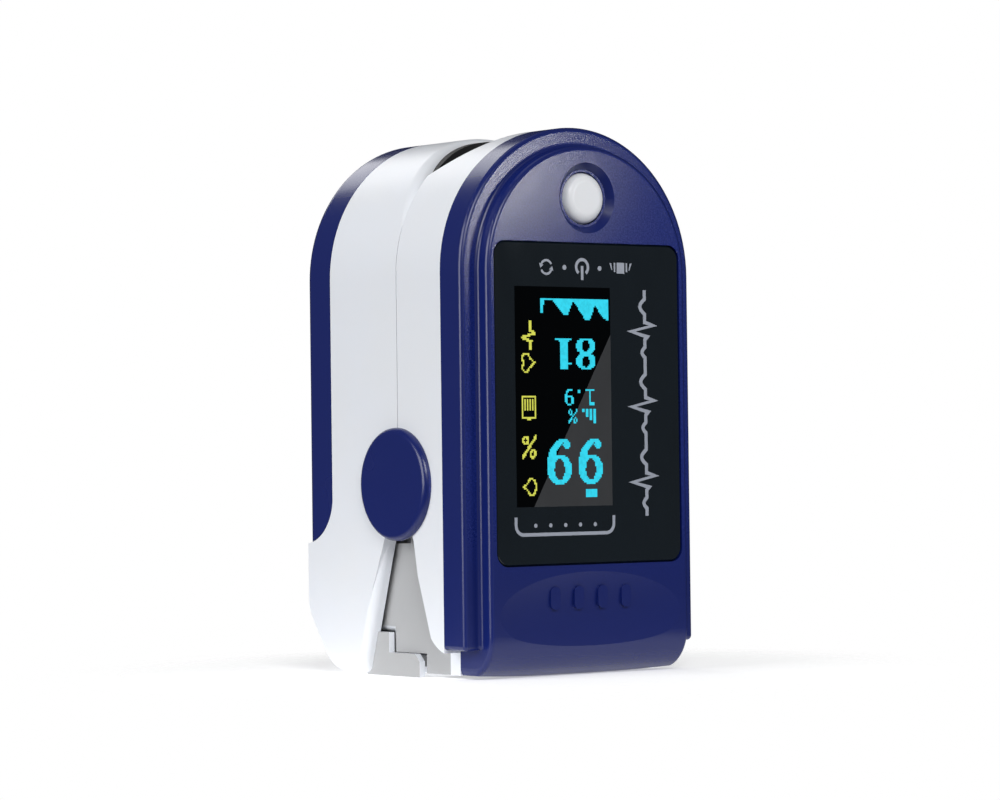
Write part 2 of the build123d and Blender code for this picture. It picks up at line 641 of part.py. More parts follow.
with BuildPart() as rear_finger_pad:
    with BuildSketch(Plane.XY.offset(PAD_BOTTOM)):
        with BuildLine():
            ThreePointArc((-PAD_OUTER, SEAM + 0.1), (0, REAR_CHANNEL - 0.03), (PAD_OUTER, SEAM + 0.1))
            Line((PAD_OUTER, SEAM + 0.1), (PAD_HALF, SEAM + 0.1))
            ThreePointArc((PAD_HALF, SEAM + 0.1), (0, REAR_PAD), (-PAD_HALF, SEAM + 0.1))
            Line((-PAD_HALF, SEAM + 0.1), (-PAD_OUTER, SEAM + 0.1))
        make_face()
    extrude(amount=40)
    with BuildSketch(upright(10)) as rear_pad_outline:
        outline(rear_pad_outline, HALF_WIDTH - 0.5, 0)
    extrude(amount=20, mode=Mode.INTERSECT)
    with BuildSketch(upright(5)):
        with Locations((0, SENSOR_Z)):
            Circle(SENSOR_HOLE + 0.1)
    extrude(amount=10, mode=Mode.SUBTRACT)
save(rear_finger_pad, "rear_finger_pad")

with BuildPart() as photodiode:
    with BuildSketch(upright(REAR_CHANNEL + 1.0)):
        with Locations((0, SENSOR_Z)):
            Circle(SENSOR_HOLE)
    extrude(amount=2.0)
save(photodiode, "photodiode")

# ---- battery door: blue, slides off over the finger end ----
with BuildPart() as battery_door:
    with BuildSketch(upright(REAR_FACE)) as door_block:
        outline(door_block, HALF_WIDTH, 5)
    extrude(amount=REAR_FACE - DOOR_EDGE - DOOR_GAP)
    fillet(battery_door.faces().sort_by(Axis.Y)[-1].edges().filter_by_position(Axis.Z, 20, 70), 1.2)
    with BuildSketch(upright(REAR_FACE - DOOR_WALL)) as door_hollow:
        outline(door_hollow, HALF_WIDTH - DOOR_WALL, 0)
    extrude(amount=10, mode=Mode.SUBTRACT)
    with BuildSketch(across(-HALF_WIDTH)):
        with BuildLine():
            ThreePointArc(
                (REAR_FACE + 0.01, DOOR_LOW_REAR + DOOR_GAP),
                (DOOR_TURN[0], DOOR_TURN[1] + DOOR_GAP),
                (DOOR_EDGE, DOOR_LOW_SIDE + DOOR_GAP),
            )
            Polyline(
                (DOOR_EDGE, DOOR_LOW_SIDE + DOOR_GAP),
                (DOOR_EDGE - 1, DOOR_LOW_SIDE + DOOR_GAP),
                (DOOR_EDGE - 1, HEIGHT + 1),
                (REAR_FACE + 0.01, HEIGHT + 1),
                (REAR_FACE + 0.01, DOOR_LOW_REAR + DOOR_GAP),
            )
        make_face()
    extrude(amount=2 * HALF_WIDTH, mode=Mode.INTERSECT)
save(battery_door, "battery_door")

# ---- cells and their contacts ----
for name, x in (("aaa_cell_left", -CELL_X), ("aaa_cell_right", CELL_X)):
    with BuildPart() as cell:
        with BuildSketch(Plane.XY.offset(CELL_BOTTOM)):
            with Locations((x, CELL_Y)):
                Circle(CELL_RADIUS)
        extrude(amount=CELL_LENGTH - 0.8)
        fillet(cell.edges().filter_by(GeomType.CIRCLE), 0.5)
        with BuildSketch(Plane.XY.offset(CELL_BOTTOM + CELL_LENGTH - 1.0)):
            with Locations((x, CELL_Y)):
                Circle(1.9)
        extrude(amount=1.0)
    save(cell, name)

with BuildPart() as cell_springs:
    for x in (-CELL_X, CELL_X):
        for turn in range(3):
            with Locations((x, CELL_Y, WELL_FLOOR + 0.7 + turn * 1.2)):
                Torus(2.6 - 0.3 * turn, 0.3)
        with Locations((x, CELL_Y, WELL_FLOOR + 0.02)):
            Cylinder(3.2, 0.3, align=(Align.CENTER, Align.CENTER, Align.MIN))
        with Locations((x + 2.15, CELL_Y, WELL_FLOOR + 0.2)):
            Cylinder(0.3, 3.2, align=(Align.CENTER, Align.CENTER, Align.MIN))
save(cell_springs, "cell_springs")

with BuildPart() as cell_contact:
    with BuildSketch(Plane.XY.offset(CELL_BOTTOM + CELL_LENGTH + 0.05)):
        with Locations((-CELL_X, CELL_Y), (CELL_X, CELL_Y)):
            Circle(3.5)
        with Locations((0, CELL_Y + 0.2)):
            Rectangle(2 * CELL_X, 3.0, align=(Align.CENTER, Align.MIN))
    extrude(amount=0.3)
save(cell_contact, "cell_contact")

# ---- hinge ----
PIN_END = 14.9
with BuildPart() as hinge_pin:
    with BuildSketch(across(-PIN_END)):
        with Locations((PIVOT_Y, PIVOT_Z)):
            Circle(PIN_RADIUS)
    extrude(amount=2 * PIN_END)
save(hinge_pin, "hinge_pin")

for name, side in (("pivot_cap_left", -1), ("pivot_cap_right", 1)):
    with BuildPart() as cap:
        with BuildSketch(across(side * (HALF_WIDTH + 0.03))):
            with Locations((PIVOT_Y, PIVOT_Z)):
                Circle(CAP_RADIUS)
        extrude(amount=side * CAP_PROUD)
        rim = cap.faces().filter_by(Axis.X).sort_by(Axis.X)[-1 if side > 0 else 0]
        fillet(rim.edges(), 0.7)
        with BuildSketch(across(side * SLOT_OUTER)):
            with Locations((PIVOT_Y, PIVOT_Z)):
                Circle(SHANK_RADIUS)
                Circle(PIN_RADIUS + 0.02, mode=Mode.SUBTRACT)
        extrude(amount=side * (WALL + 0.05))
    save(cap, name)

WIRE_RADIUS = 0.35
COIL_RADIUS = 1.75
COIL_TURNS = 4
for name, side in (("torsion_spring_left", -1), ("torsion_spring_right", 1)):
    with BuildPart() as spring:
        first = side * 4.5
        for turn in range(COIL_TURNS):
            x = first + side * turn * 2 * (WIRE_RADIUS - 0.02)
            with Locations(Location((x, PIVOT_Y, PIVOT_Z), (0, 90, 0))):
                Torus(COIL_RADIUS, WIRE_RADIUS)
        last = first + side * (COIL_TURNS - 1) * 2 * (WIRE_RADIUS - 0.02)
        for x, foot in ((first, (FLOOR_BACK + 0.4, 9.0)), (last, (REAR_CHANNEL - 0.4, 9.0))):
            top_y = PIVOT_Y + (COIL_RADIUS if foot[0] > PIVOT_Y else -COIL_RADIUS)
            leg = Line((x, top_y, PIVOT_Z), (x, foot[0], foot[1]), mode=Mode.PRIVATE)
            with BuildSketch(Plane(origin=leg @ 0, z_dir=leg % 0)):
                Circle(WIRE_RADIUS)
            extrude(amount=leg.length)
    save(spring, name)

# flat cable from the board to the detector, past the hinge pin's middle
with BuildPart() as sensor_flex:
    with BuildSketch(across(-FLEX_HALF)):
        with BuildLine():
            Polyline(
                (BOARD_BACK + 0.12, FLEX_Z),
                (-7.4, FLEX_Z),
                (-6.2, 7.0),
                (-2.6, 7.0),
                (0.2, 12.0),
                (1.3, 16.0),
                (1.3, 22.0),
            )
            offset(amount=0.08, side=Side.BOTH)
        make_face()
    extrude(amount=2 * FLEX_HALF)
save(sensor_flex, "sensor_flex")
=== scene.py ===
"""Looks of the fingertip pulse oximeter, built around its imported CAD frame. All lengths are in metres."""
import math

import bmesh
import bpy
from mathutils import Matrix, Vector


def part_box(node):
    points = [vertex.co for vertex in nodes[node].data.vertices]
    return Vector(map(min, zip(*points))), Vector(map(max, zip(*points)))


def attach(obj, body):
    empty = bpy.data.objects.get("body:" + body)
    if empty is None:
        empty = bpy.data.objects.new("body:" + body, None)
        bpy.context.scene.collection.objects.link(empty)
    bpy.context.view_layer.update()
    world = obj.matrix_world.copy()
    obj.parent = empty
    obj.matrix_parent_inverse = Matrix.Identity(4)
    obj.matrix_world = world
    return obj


MM = 0.001
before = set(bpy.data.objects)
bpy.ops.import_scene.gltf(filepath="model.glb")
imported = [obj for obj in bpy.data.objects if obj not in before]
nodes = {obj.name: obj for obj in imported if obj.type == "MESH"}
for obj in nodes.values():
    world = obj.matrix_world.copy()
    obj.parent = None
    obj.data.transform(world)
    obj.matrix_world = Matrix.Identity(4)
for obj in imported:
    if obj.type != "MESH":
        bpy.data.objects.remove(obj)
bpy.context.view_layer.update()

# blue shell: the grain's size and the heights between which it sets in, and how squarely a face looks
# along Y (0 is edge on, 1 is square) where the grain, whose lighter blue speckle is also painted light, and
# the duller finish set in
GRAIN = 0.20 * MM
GRAIN_AND_PAINTED_LIGHT_HEIGHTS = (6 * MM, 24 * MM)
GRAIN_AND_PAINTED_LIGHT_TURN = (0.93, 0.995)
BROAD_TURN = (0.80, 0.96)

# white shell: where the inner cheeks under the hinge are, which get painted shade and a matt finish, and how
# much the painted shade darkens their colour
INNER_HALF = 14.3 * MM
INNER_FRONT = -7.9 * MM
INNER_TOP = 15 * MM
INNER_TURN = (0.88, 0.98)
INNER_PAINTED_SHADE = (0.52, 0.51, 0.49)

DRAWN_LINES = (1, 1, 1 / 12)      # noise scale across and along drawn metal
TRACKS = 500                      # scale of the circuit board's pattern

# dry cell: contact nub, copper band under it, gap between them and bare rim
NUB = 1.0 * MM
BAND = 11 * MM
BAND_GAP = 0.5 * MM
BARE_RIM = 0.45 * MM


# ---------------------------------------------------------------- node helpers

def new_material(name):
    """A fresh node material: (material, its node tree, its Principled shader)."""
    material = bpy.data.materials.new(name)
    material.use_nodes = True
    tree = material.node_tree
    return material, tree, tree.nodes["Principled BSDF"]


def object_coords(tree, scale=(1, 1, 1)):
    """Object coordinates times scale, so that a texture is measured on the piece itself."""
    coords = tree.nodes.new("ShaderNodeTexCoord")
    mapping = tree.nodes.new("ShaderNodeMapping")
    tree.links.new(coords.outputs["Object"], mapping.inputs["Vector"])
    mapping.inputs["Scale"].default_value = scale
    return mapping.outputs["Vector"]


def noise(tree, grain, detail=2.0, roughness=0.5, stretch=(1, 1, 1)):
    """Noise whose blobs are about grain metres across."""
    node = tree.nodes.new("ShaderNodeTexNoise")
    vector = object_coords(tree, tuple(s / grain for s in stretch))
    tree.links.new(vector, node.inputs["Vector"])
    node.inputs["Scale"].default_value = 1.0
    node.inputs["Detail"].default_value = detail
    node.inputs["Roughness"].default_value = roughness
    return node.outputs["Fac"]


def ramp(tree, value, stops):
    """Map value through (position, colour) stops."""
    node = tree.nodes.new("ShaderNodeValToRGB")
    elements = node.color_ramp.elements
    while len(elements) < len(stops):
        elements.new(0.5)
    for element, (position, colour) in zip(elements, stops):
        element.position = position
        element.color = (*colour, 1)
    tree.links.new(value, node.inputs["Fac"])
    return node.outputs["Color"]


def grey(v):
    """The same value in red, green and blue."""
    return (v, v, v)


def mix(tree, factor, a, b):
    """Blend colour a into b by the factor socket; each colour is a socket or plain."""
    node = tree.nodes.new("ShaderNodeMix")
    node.data_type = "RGBA"
    for socket, value in ((node.inputs[0], factor), (node.inputs[6], a), (node.inputs[7], b)):
        if hasattr(value, "links"):
            tree.links.new(value, socket)
        else:
            socket.default_value = (*value, 1)
    return node.outputs[2]


def math_node(tree, operation, a, b=0.0):
    """The result of a math node; a and b are sockets or numbers."""
    node = tree.nodes.new("ShaderNodeMath")
    node.operation = operation
    for socket, value in ((node.inputs[0], a), (node.inputs[1], b)):
        if hasattr(value, "links"):
            tree.links.new(value, socket)
        else:
            socket.default_value = value
    return node.outputs[0]


def bump(tree, shader, layers):
    """Stack bumps on a shader: each layer is (height socket, strength, depth in metres)."""
    normal = None
    for height, strength, depth in layers:
        node = tree.nodes.new("ShaderNodeBump")
        node.inputs["Strength"].default_value = strength
        node.inputs["Distance"].default_value = depth
        tree.links.new(height, node.inputs["Height"])
        if normal:
            tree.links.new(normal, node.inputs["Normal"])
        normal = node.outputs["Normal"]
    tree.links.new(normal, shader.inputs["Normal"])


def facing(tree, axis, start, end):
    """Rises from 0 to 1 as the size of the normal's part along the axis goes from start to end."""
    coords = tree.nodes.new("ShaderNodeTexCoord")
    split = tree.nodes.new("ShaderNodeSeparateXYZ")
    tree.links.new(coords.outputs["Normal"], split.inputs[0])
    spread = tree.nodes.new("ShaderNodeMapRange")
    spread.interpolation_type = "SMOOTHSTEP"
    spread.inputs["From Min"].default_value = start
    spread.inputs["From Max"].default_value = end
    tree.links.new(math_node(tree, "ABSOLUTE", split.outputs[axis]), spread.inputs["Value"])
    return spread.outputs["Result"]


def height_mask(tree, low, high):
    """1 between two heights of the piece, 0 elsewhere."""
    split = tree.nodes.new("ShaderNodeSeparateXYZ")
    tree.links.new(object_coords(tree), split.inputs[0])
    above = math_node(tree, "GREATER_THAN", split.outputs["Z"], low)
    below = math_node(tree, "LESS_THAN", split.outputs["Z"], high)
    return math_node(tree, "MULTIPLY", above, below)


# ---------------------------------------------------------------- materials

def blue_shell():
    """Dark blue ABS: spark-eroded grain high on the broad faces, its speckle a lighter blue that is also
    painted light on them, a plainer darker blue and duller finish below, polished on the edges.
    """
    material, tree, shader = new_material("blue_shell")
    deep, dark, light = (0.0050, 0.0130, 0.118), (0.0045, 0.0145, 0.138), (0.0160, 0.0310, 0.225)
    split = tree.nodes.new("ShaderNodeSeparateXYZ")
    tree.links.new(object_coords(tree), split.inputs[0])
    rising = tree.nodes.new("ShaderNodeMapRange")
    rising.interpolation_type = "SMOOTHSTEP"
    rising.inputs["From Min"].default_value = GRAIN_AND_PAINTED_LIGHT_HEIGHTS[0]
    rising.inputs["From Max"].default_value = GRAIN_AND_PAINTED_LIGHT_HEIGHTS[1]
    tree.links.new(split.outputs["Z"], rising.inputs["Value"])
    grain_and_painted_light = math_node(tree, "MULTIPLY", facing(tree, "Y", *GRAIN_AND_PAINTED_LIGHT_TURN), rising.outputs["Result"])
    grain = noise(tree, GRAIN, detail=2, roughness=0.8)
    # the speckle is the grain's own tone, and its lighter blue on the upper front faces is painted light
    speckle_and_painted_light = ramp(tree, grain, [(0.40, dark), (0.62, light)])
    tree.links.new(mix(tree, grain_and_painted_light, deep, speckle_and_painted_light), shader.inputs["Base Color"])
    rough = ramp(tree, grain, [(0.3, grey(0.17)), (0.7, grey(0.25))])
    smear = ramp(tree, noise(tree, 6 * MM), [(0.3, grey(0.22)), (0.7, grey(0.28))])
    handled = mix(tree, facing(tree, "Y", *BROAD_TURN), smear, grey(0.34))
    tree.links.new(mix(tree, grain_and_painted_light, handled, rough), shader.inputs["Roughness"])
    shader.inputs["IOR"].default_value = 1.5
    fine = math_node(tree, "MULTIPLY", grain, grain_and_painted_light)
    bump(tree, shader, [(fine, 0.35, 0.05 * MM)])
    return material


def white_shell(name="white_shell", colour=(0.80, 0.825, 0.875), rough=0.30, inner=None):
    """Smooth white ABS; inner is the half width inside which the low side faces get painted shade in their
    colour and a matt finish.
    """
    material, tree, shader = new_material(name)
    drift = noise(tree, 9 * MM)
    warmer = tuple(c * k for c, k in zip(colour, (1.0, 0.995, 0.98)))
    skin = ramp(tree, drift, [(0.35, colour), (0.7, warmer)])
    sheen = noise(tree, 0.25 * MM, detail=3)
    polish = ramp(tree, sheen, [(0.3, grey(rough)), (0.7, grey(rough + 0.1))])
    if inner:
        split = tree.nodes.new("ShaderNodeSeparateXYZ")
        tree.links.new(object_coords(tree), split.inputs[0])
        across = math_node(tree, "ABSOLUTE", split.outputs["X"])
        inside = math_node(tree, "LESS_THAN", across, inner)
        behind = math_node(tree, "GREATER_THAN", split.outputs["Y"], INNER_FRONT)
        low = math_node(tree, "LESS_THAN", split.outputs["Z"], INNER_TOP)
        painted_shade_mask = math_node(tree, "MULTIPLY", math_node(tree, "MULTIPLY", inside, behind), low)
        painted_shade_mask = math_node(tree, "MULTIPLY", painted_shade_mask, facing(tree, "X", *INNER_TURN))
        # painted shade: the colour of the recessed inner cheeks is darkened to stand in for the shade in the
        # recess
        skin = mix(tree, painted_shade_mask, skin, tuple(c * k for c, k in zip(colour, INNER_PAINTED_SHADE)))
        polish = mix(tree, painted_shade_mask, polish, grey(0.5))
    tree.links.new(skin, shader.inputs["Base Color"])
    tree.links.new(polish, shader.inputs["Roughness"])
    shader.inputs["IOR"].default_value = 1.5
    shader.inputs["Subsurface Weight"].default_value = 0.08
    shader.inputs["Subsurface Radius"].default_value = (0.6 * MM, 0.5 * MM, 0.45 * MM)
    ripple = noise(tree, 0.22 * MM, detail=3)
    bump(tree, shader, [(ripple, 0.10, 0.01 * MM), (noise(tree, 5 * MM), 0.05, 0.06 * MM)])
    return material


def gloss_black(name, colour, rough=0.05, specular=0.5):
    """Polished black plastic or glass, with faint wiping marks."""
    material, tree, shader = new_material(name)
    haze = noise(tree, 2.5 * MM, detail=4, stretch=(1, 1, 0.35))
    smear = ramp(tree, haze, [(0.3, grey(rough)), (0.75, grey(rough + 0.05))])
    tree.links.new(smear, shader.inputs["Roughness"])
    lighter = tuple(c * 1.15 for c in colour)
    tree.links.new(ramp(tree, haze, [(0.3, colour), (0.8, lighter)]), shader.inputs["Base Color"])
    shader.inputs["IOR"].default_value = 1.49
    shader.inputs["Specular IOR Level"].default_value = specular
    bump(tree, shader, [(noise(tree, 12 * MM), 0.02, 0.03 * MM)])
    return material


def matte(name, colour, rough=0.6, grain=0.3 * MM, depth=0.02 * MM, contrast=0.18):
    """A plain moulded or painted surface with fine grain."""
    material, tree, shader = new_material(name)
    spread = noise(tree, grain, detail=3)
    dark = tuple(c * (1 - contrast) for c in colour)
    light = tuple(min(1, c * (1 + contrast)) for c in colour)
    tree.links.new(ramp(tree, spread, [(0.3, dark), (0.7, light)]), shader.inputs["Base Color"])
    worn = ramp(tree, spread, [(0.3, grey(rough - 0.06)), (0.7, grey(rough + 0.06))])
    tree.links.new(worn, shader.inputs["Roughness"])
    bump(tree, shader, [(spread, 0.35, depth)])
    return material


def metal(name, colour, rough=0.25):
    """Drawn or stamped metal with fine lines along its length."""
    material, tree, shader = new_material(name)
    lines = noise(tree, 0.25 * MM, detail=4, stretch=DRAWN_LINES)
    dull = tuple(c * 0.82 for c in colour)
    tree.links.new(ramp(tree, lines, [(0.3, dull), (0.7, colour)]), shader.inputs["Base Color"])
    worn = ramp(tree, lines, [(0.3, grey(rough - 0.08)), (0.7, grey(rough + 0.1))])
    tree.links.new(worn, shader.inputs["Roughness"])
    shader.inputs["Metallic"].default_value = 1.0
    bump(tree, shader, [(lines, 0.2, 0.01 * MM)])
    return material


def circuit_board():
    """Green solder mask over a faint lattice of tracks."""
    material, tree, shader = new_material("circuit_board")
    tracks = tree.nodes.new("ShaderNodeTexBrick")
    tree.links.new(object_coords(tree, (TRACKS, TRACKS, TRACKS)), tracks.inputs["Vector"])
    tracks.inputs["Scale"].default_value = 1.0
    tracks.inputs["Mortar Size"].default_value = 0.06
    tracks.inputs["Color1"].default_value = (0.006, 0.085, 0.030, 1)
    tracks.inputs["Color2"].default_value = (0.008, 0.105, 0.036, 1)
    tracks.inputs["Mortar"].default_value = (0.03, 0.20, 0.07, 1)
    tree.links.new(tracks.outputs["Color"], shader.inputs["Base Color"])
    worn = ramp(tree, noise(tree, 1.5 * MM), [(0.3, grey(0.28)), (0.7, grey(0.4))])
    tree.links.new(worn, shader.inputs["Roughness"])
    bump(tree, shader, [(tracks.outputs["Fac"], 0.3, 0.02 * MM)])
    return material


def cell_sleeve():
    """A dry cell: printed sleeve with a copper band, bare metal at both ends."""
    material, tree, shader = new_material("cell_sleeve")
    low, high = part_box("aaa_cell_left")
    top = high.z - NUB
    band = height_mask(tree, top - BAND, top - BAND_GAP)
    foot = height_mask(tree, low.z - MM, low.z + BARE_RIM)
    head = height_mask(tree, top - BARE_RIM, high.z + MM)
    ends = math_node(tree, "ADD", foot, head)
    scuff = noise(tree, 1.6 * MM, detail=5)
    dark = ramp(tree, scuff, [(0.3, (0.012, 0.013, 0.016)), (0.8, (0.022, 0.023, 0.027))])
    copper = ramp(tree, scuff, [(0.3, (0.60, 0.27, 0.13)), (0.8, (0.70, 0.34, 0.18))])
    steel = ramp(tree, scuff, [(0.3, grey(0.48)), (0.8, grey(0.60))])
    tree.links.new(mix(tree, ends, mix(tree, band, dark, copper), steel), shader.inputs["Base Color"])
    shiny = math_node(tree, "MAXIMUM", ends, math_node(tree, "MULTIPLY", band, 0.9))
    tree.links.new(shiny, shader.inputs["Metallic"])
    tree.links.new(ramp(tree, scuff, [(0.3, grey(0.2)), (0.8, grey(0.34))]), shader.inputs["Roughness"])
    bump(tree, shader, [(scuff, 0.06, 0.01 * MM)])
    return material


def ink(name, colour):
    """Screen printing on the lens."""
    return matte(name, colour, rough=0.45, grain=0.12 * MM, depth=0.004 * MM, contrast=0.06)


def glow(name, colour, dim):
    """Lit pixels: emission that varies a little from pixel to pixel."""
    material, tree, shader = new_material(name)
    shader.inputs["Base Color"].default_value = (0.0, 0.0, 0.0, 1)
    shader.inputs["Roughness"].default_value = 0.1
    spread = noise(tree, 0.4 * MM)
    weaker = tuple(c * dim for c in colour)
    tree.links.new(ramp(tree, spread, [(0.3, weaker), (0.6, colour)]), shader.inputs["Emission Color"])
    shader.inputs["Emission Strength"].default_value = 1.0
    return material


def clear_epoxy():
    """The lamp's clear epoxy lens."""
    material, tree, shader = new_material("clear_epoxy")
    shader.inputs["Transmission Weight"].default_value = 0.7
    shader.inputs["IOR"].default_value = 1.5
    tint = ramp(tree, noise(tree, 0.8 * MM), [(0.3, (0.55, 0.14, 0.12)), (0.7, (0.65, 0.2, 0.16))])
    tree.links.new(tint, shader.inputs["Base Color"])
    haze = ramp(tree, noise(tree, 0.5 * MM), [(0.3, grey(0.08)), (0.7, grey(0.16))])
    tree.links.new(haze, shader.inputs["Roughness"])
    return material


blue = blue_shell()
white = white_shell(inner=INNER_HALF)
silicone = matte("silicone", (0.018, 0.018, 0.020), rough=0.62, grain=0.35 * MM, depth=0.03 * MM)
epoxy = matte("chip_epoxy", (0.012, 0.012, 0.013), rough=0.5, grain=0.15 * MM)
steel = metal("steel", (0.60, 0.60, 0.61))
nickel = metal("nickel", (0.72, 0.70, 0.66), rough=0.18)

LOOKS = {
    "front_cover": blue,
    "battery_door": blue,
    "pivot_cap_left": blue,
    "pivot_cap_right": blue,
    "front_housing": white,
    "rear_housing": white,
    # painted light: the button's white is lighter than the shells' to stand in for light on its front face
    "power_button": white_shell("button_white", (0.90, 0.92, 0.96), rough=0.34),
    "display_lens": gloss_black("lens_acrylic", (0.0050, 0.0090, 0.0130)),
    "lens_gasket": matte("black_foam", (0.01, 0.01, 0.01), rough=0.8),
    "oled_panel": gloss_black("display_glass", (0.004, 0.004, 0.005)),
    "oled_flex": matte("polyimide", (0.40, 0.16, 0.02), rough=0.35),
    "sensor_flex": matte("polyimide_cable", (0.40, 0.16, 0.02), rough=0.35),
    "main_pcb": circuit_board(),
    "pcb_chips": epoxy,
    "switch_plunger": epoxy,
    "photodiode": epoxy,
    "tact_switch": steel,
    "led_emitter": clear_epoxy(),
    "front_finger_pad": silicone,
    "rear_finger_pad": silicone,
    "front_screws": steel,
    "hinge_pin": steel,
    "torsion_spring_left": steel,
    "torsion_spring_right": steel,
    "cell_springs": nickel,
    "cell_contact": nickel,
    "aaa_cell_left": cell_sleeve(),
    # a known fault: this is the frame's own plain material of that name, not the sleeve made above
    "aaa_cell_right": bpy.data.materials["cell_sleeve"],
}
for node_name, look in LOOKS.items():
    nodes[node_name].data.materials.clear()
    nodes[node_name].data.materials.append(look)


# ---------------------------------------------------------------- flat shapes on the lens

LENS_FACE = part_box("display_lens")[0].y
SHEET = 0.012 * MM                # thickness of ink and of the lit pixels
THIN_SHEET = 0.004 * MM           # of the window's black and of the grey sheet of painted glare on it


def slab_piece(name, polygons, depth, material, thickness=SHEET):
    """One thin piece from flat outlines in X and Z (mm), whose back lies at y = depth."""
    mesh = bpy.data.meshes.new(name)
    form = bmesh.new()
    for outline in polygons:
        back = [form.verts.new((x * MM, depth, z * MM)) for x, z in outline]
        front = [form.verts.new((x * MM, depth - thickness, z * MM)) for x, z in outline]
        form.faces.new(front)
        form.faces.new(list(reversed(back)))
        for i in range(len(outline)):
            j = (i + 1) % len(outline)
            form.faces.new((front[i], back[i], back[j], front[j]))
    bmesh.ops.recalc_face_normals(form, faces=form.faces)
    form.to_mesh(mesh)
    form.free()
    mesh.materials.append(material)
    piece = bpy.data.objects.new(name, mesh)
    bpy.context.scene.collection.objects.link(piece)
    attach(piece, "front_half")


def disc(x, z, radius, sides=24):
    """The outline of a round dot."""
    turn = 2 * math.pi / sides
    return [(x + radius * math.cos(i * turn), z + radius * math.sin(i * turn)) for i in range(sides)]


def rectangle(x0, z0, x1, z1):
    """The outline of a box from its lower left to its upper right corner."""
    return [(x0, z0), (x1, z0), (x1, z1), (x0, z1)]


def arc(x, z, radius, start, end, steps=20):
    """Points on a circle between two angles in degrees."""
    angles = [math.radians(start + (end - start) * i / steps) for i in range(steps + 1)]
    return [(x + radius * math.cos(a), z + radius * math.sin(a)) for a in angles]


def stroke(points, width):
    """A line of even width along points, as quads with mitred joints."""
    path = [Vector(p) for p in points]
    sides = []
    for i, point in enumerate(path):
        before = (point - path[i - 1]).normalized() if i else None
        after = (path[i + 1] - point).normalized() if i + 1 < len(path) else None
        along = ((before or after) + (after or before)).normalized()
        across = Vector((-along.y, along.x))
        lean = across.dot(Vector((-(before or after).y, (before or after).x)))
        reach = across * width / 2 / max(lean, 0.35)
        sides.append((point + reach, point - reach))
    return [[*map(tuple, (a[0], a[1], b[1], b[0]))] for a, b in zip(sides, sides[1:])]


# printing around the window, in mm
PRINT = ink("lens_print", (0.37, 0.40, 0.47))
ICON_Z = 43.0
ICON_LINE = 0.24
POWER_LINE = 0.33
ICON_DOTS = (-3.15, 1.62)
ICON_DOT = 0.26
BRACKET = (-10.0, 3.15, 15.02, 16.85)          # left, right, bottom, top
BRACKET_LINE = 0.36
BRACKET_ROUND = 1.0
FIVE_DOTS = [-7.4 + 2.0 * i for i in range(5)]
FIVE_DOTS_Z = 15.95
SMALL_DOT = 0.22
TRACE_X = 7.75
TRACE_ENDS = (16.7, 40.8)
TRACE_REACH = 1.9
TRACE_LINE = 0.42
TRACE_BEATS = 3


def turn_icon(x, z, radius):
    """Two arrows that chase each other round."""
    shapes = []
    for start in (25, 205):
        shapes += stroke(arc(x, z, radius, start, start + 130), ICON_LINE)
        tip = arc(x, z, radius, start + 138, start + 138, 1)[0]
        heading = math.radians(start + 138 + 90)
        along = Vector((math.cos(heading), math.sin(heading)))
        out = Vector((along.y, -along.x))
        foot = Vector(tip) - along * 0.12
        shapes.append([tuple(foot + out * 0.3), tuple(foot + along * 0.45), tuple(foot - out * 0.3)])
    return shapes


def power_icon(x, z, radius):
    """An open ring with a bar through the gap, drawn upside down."""
    ring = stroke(arc(x, z, radius, -52, 232, 28), POWER_LINE)
    return ring + [rectangle(x - 0.17, z - 1.35, x + 0.17, z + 0.12)]


def fan_icon(x, z):
    """A block between bars that lean outwards."""
    shapes = [rectangle(x - 0.52, z - 0.58, x + 0.52, z + 0.58)]
    for side in (-1, 1):
        near = ((0.72, -0.42), (0.92, -0.42), (0.92, 0.55), (0.72, 0.55))
        far = ((1.12, -0.22), (1.24, -0.22), (1.52, 0.52), (1.28, 0.52))
        shapes += [[(x + side * u, z + v) for u, v in bar] for bar in (near, far)]
    return shapes


def bracket(left, right, bottom, top):
    """An open tray with rounded lower corners."""
    r = BRACKET_ROUND
    left_turn = arc(left + r, bottom + r, r, 180, 270, 8)
    right_turn = arc(right - r, bottom + r, r, 270, 360, 8)
    return stroke([(left, top), *left_turn, *right_turn, (right, top)], BRACKET_LINE)


def wave(start, length, rise, steps=6):
    """A smooth hump: (place along the line, height) pairs."""
    return [(start + length * i / steps, rise * math.sin(math.pi * i / steps)) for i in range(steps + 1)]


def heartbeat(x, z0, z1, reach, beats):
    """A pulse trace that runs up the lens: level, round bump, tall spike and a second round bump."""
    step = (z1 - z0) / beats
    spike = [(0.34, 0), (0.38, -0.18), (0.45, 1.0), (0.53, -0.62), (0.57, 0), (0.66, 0)]
    shape = [(0, 0), *wave(0.10, 0.14, 0.22), *spike, *wave(0.68, 0.20, 0.34)]
    path = [(x - reach * rise, z0 + step * (beat + t)) for beat in range(beats) for t, rise in shape]
    return stroke(path + [(x, z1)], TRACE_LINE)


slab_piece(
    "lens_icons",
    turn_icon(-5.57, ICON_Z, 0.72) + power_icon(-0.75, ICON_Z + 0.08, 0.80) + fan_icon(4.5, ICON_Z + 0.08)
    + [disc(x, ICON_Z, ICON_DOT) for x in ICON_DOTS],
    LENS_FACE, PRINT,
)
slab_piece(
    "lens_bracket",
    bracket(*BRACKET) + [disc(x, FIVE_DOTS_Z, SMALL_DOT) for x in FIVE_DOTS],
    LENS_FACE, PRINT,
)
slab_piece(
    "lens_pulse_trace",
    heartbeat(TRACE_X, *TRACE_ENDS, TRACE_REACH, TRACE_BEATS),
    LENS_FACE, PRINT,
)


# ---------------------------------------------------------------- display

